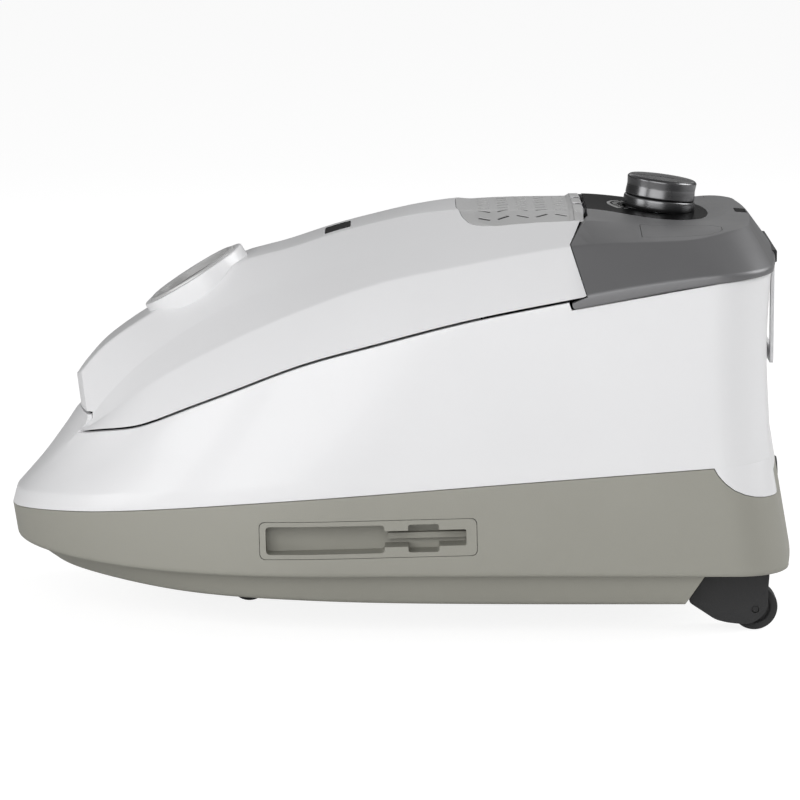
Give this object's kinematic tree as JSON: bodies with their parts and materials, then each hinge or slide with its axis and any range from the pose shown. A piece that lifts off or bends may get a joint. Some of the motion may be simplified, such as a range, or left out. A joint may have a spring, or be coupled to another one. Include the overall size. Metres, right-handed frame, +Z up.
{
  "type": "canister vacuum cleaner",
  "caption": "Canister vacuum cleaner body with wedge-shaped lid, round hose inlet, slotted exhaust grille, rotary power dial, foot pedals and castors.",
  "frame": {"origin": "centre of the footprint at floor level, under the castors", "axes": "+X from the nose to the rear, +Z up, -Y the side with the power pedal"},
  "size_m": [0.44, 0.246, 0.2458],
  "materials": {
    "white": "semi-gloss white moulding",
    "silver": "silver-grey satin",
    "warm_grey": "warm grey, fine grain",
    "metallic": "dark metallic lacquer",
    "dial_metal": "brushed metallised plastic",
    "gloss_black": "gloss black",
    "black": "satin black",
    "dark_grey": "dark grey, matte",
    "rubber": "matte",
    "steel": "brushed",
    "copper": "enamelled windings",
    "cloth": "filter fleece",
    "card": "plain card",
    "board": "green solder mask",
    "paper": "layered fleece bag"
  },
  "bodies": {
    "body": {"base_tub": "warm_grey", "upper_housing": "white", "control_panel": "metallic", "hinge_pin": "steel", "dial_plate": "gloss_black", "dial_skirt": "dial_metal", "potentiometer": "dark_grey", "status_lens": "gloss_black", "lid_seal": "rubber", "dust_chamber": "dark_grey", "bag_holder": "silver", "bag_collar": "card", "dust_bag": "paper", "filter_frame": "dark_grey", "motor_filter": "cloth", "motor_mount_front": "rubber", "motor_housing": "dark_grey", "motor_mount_rear": "rubber", "fan_cover": "steel", "stator": "copper", "reel_axle": "steel", "spring_cover": "steel", "reel_bracket": "warm_grey", "motor_cover": "dark_grey", "filter_cassette": "white", "exhaust_filter": "cloth", "circuit_board": "board", "main_switch": "black", "power_pedal_spring": "steel", "rewind_pedal_spring": "steel", "handle_bracket": "black", "handle_pin": "steel", "parking_slot_left": "warm_grey", "parking_slot_right": "warm_grey", "cord_outlet": "black", "service_cover": "warm_grey"},
    "lid": {"lid": "white", "exhaust_grille": "silver", "indicator_window": "gloss_black", "hose_socket": "silver", "hose_seal": "rubber"},
    "lid_latch": {"lid_latch": "white"},
    "dial": {"dial_knob": "dial_metal", "dial_shaft": "steel"},
    "power_pedal": {"power_pedal": "metallic"},
    "switch_plunger": {"switch_plunger": "dark_grey"},
    "rewind_pedal": {"rewind_pedal": "metallic"},
    "brake_lever": {"brake_lever": "dark_grey"},
    "carry_handle": {"carry_handle": "white"},
    "motor_rotor": {"impeller": "steel", "armature": "steel"},
    "cord_drum": {"cord_reel": "dark_grey", "wound_cord": "rubber"},
    "front_castor_fork": {"front_castor_hood": "black"},
    "front_castor_roller": {"front_castor_wheel": "rubber"},
    "rear_castor_left_fork": {"rear_castor_left_hood": "black"},
    "rear_castor_left_roller": {"rear_castor_left_wheel": "rubber"},
    "rear_castor_right_fork": {"rear_castor_right_hood": "black"},
    "rear_castor_right_roller": {"rear_castor_right_wheel": "rubber"}
  },
  "joints": [
    {"name": "lid_hinge", "type": "hinge", "parent": "body", "child": "lid", "pos_m": [0.0998, 0, 0.2259], "axis": [0, 1, 0], "range_deg": [0, 72]},
    {"name": "lid_latch_press", "type": "hinge", "parent": "lid", "child": "lid_latch", "pos_m": [-0.1685, 0, 0.1275], "axis": [0, -1, 0], "range_deg": [0, 9], "stiffness_Nm_per_rad": 0.4, "springref_deg": -5.73},
    {"name": "dial_turn", "type": "hinge", "parent": "body", "child": "dial", "pos_m": [0.1453, 0, 0.2238], "axis": [0.129, 0, 0.9916], "range_deg": [-135, 135]},
    {"name": "power_pedal_press", "type": "slide", "parent": "body", "child": "power_pedal", "axis": [0, 0, -1], "range_m": [0, 0.004], "stiffness_N_per_m": 500, "springref_m": -0.003, "deforming": ["power_pedal_spring"]},
    {"name": "switch_plunger_press", "type": "slide", "parent": "body", "child": "switch_plunger", "axis": [0, 0, -1], "range_m": [0, 0.004]},
    {"name": "rewind_pedal_press", "type": "slide", "parent": "body", "child": "rewind_pedal", "axis": [0, 0, -1], "range_m": [0, 0.004], "stiffness_N_per_m": 500, "springref_m": -0.003, "deforming": ["rewind_pedal_spring"]},
    {"name": "brake_lever_tilt", "type": "hinge", "parent": "body", "child": "brake_lever", "pos_m": [0.128, 0.084, 0.172], "axis": [0, 1, 0], "range_deg": [0, 12.9]},
    {"name": "carry_handle_swing", "type": "hinge", "parent": "body", "child": "carry_handle", "pos_m": [0.2072, 0, 0.2028], "axis": [0, -1, 0], "range_deg": [0, 95]},
    {"name": "motor_spin", "type": "hinge", "parent": "body", "child": "motor_rotor", "pos_m": [0.1, -0.044, 0.0975], "axis": [1, 0, 0], "continuous": true},
    {"name": "cord_reel_spin", "type": "hinge", "parent": "body", "child": "cord_drum", "pos_m": [0.128, 0.052, 0.098], "axis": [0, 1, 0], "continuous": true},
    {"name": "front_castor_swivel", "type": "hinge", "parent": "body", "child": "front_castor_fork", "pos_m": [-0.096, 0, 0.03], "axis": [0, 0, 1], "continuous": true},
    {"name": "front_castor_roll", "type": "hinge", "parent": "front_castor_fork", "child": "front_castor_roller", "pos_m": [-0.086, 0, 0.011], "axis": [0, 1, 0], "continuous": true},
    {"name": "rear_castor_left_swivel", "type": "hinge", "parent": "body", "child": "rear_castor_left_fork", "pos_m": [0.186, -0.077, 0.03], "axis": [0, 0, 1], "continuous": true},
    {"name": "rear_castor_left_roll", "type": "hinge", "parent": "rear_castor_left_fork", "child": "rear_castor_left_roller", "pos_m": [0.196, -0.077, 0.0128], "axis": [0, 1, 0], "continuous": true},
    {"name": "rear_castor_right_swivel", "type": "hinge", "parent": "body", "child": "rear_castor_right_fork", "pos_m": [0.186, 0.077, 0.03], "axis": [0, 0, 1], "continuous": true},
    {"name": "rear_castor_right_roll", "type": "hinge", "parent": "rear_castor_right_fork", "child": "rear_castor_right_roller", "pos_m": [0.196, 0.077, 0.0128], "axis": [0, 1, 0], "continuous": true}
  ],
  "couplings": [
    {"joint": "switch_plunger_press", "follows": "power_pedal_press", "ratio": 1},
    {"joint": "brake_lever_tilt", "follows": "rewind_pedal_press", "rad_per_m": 56}
  ]
}
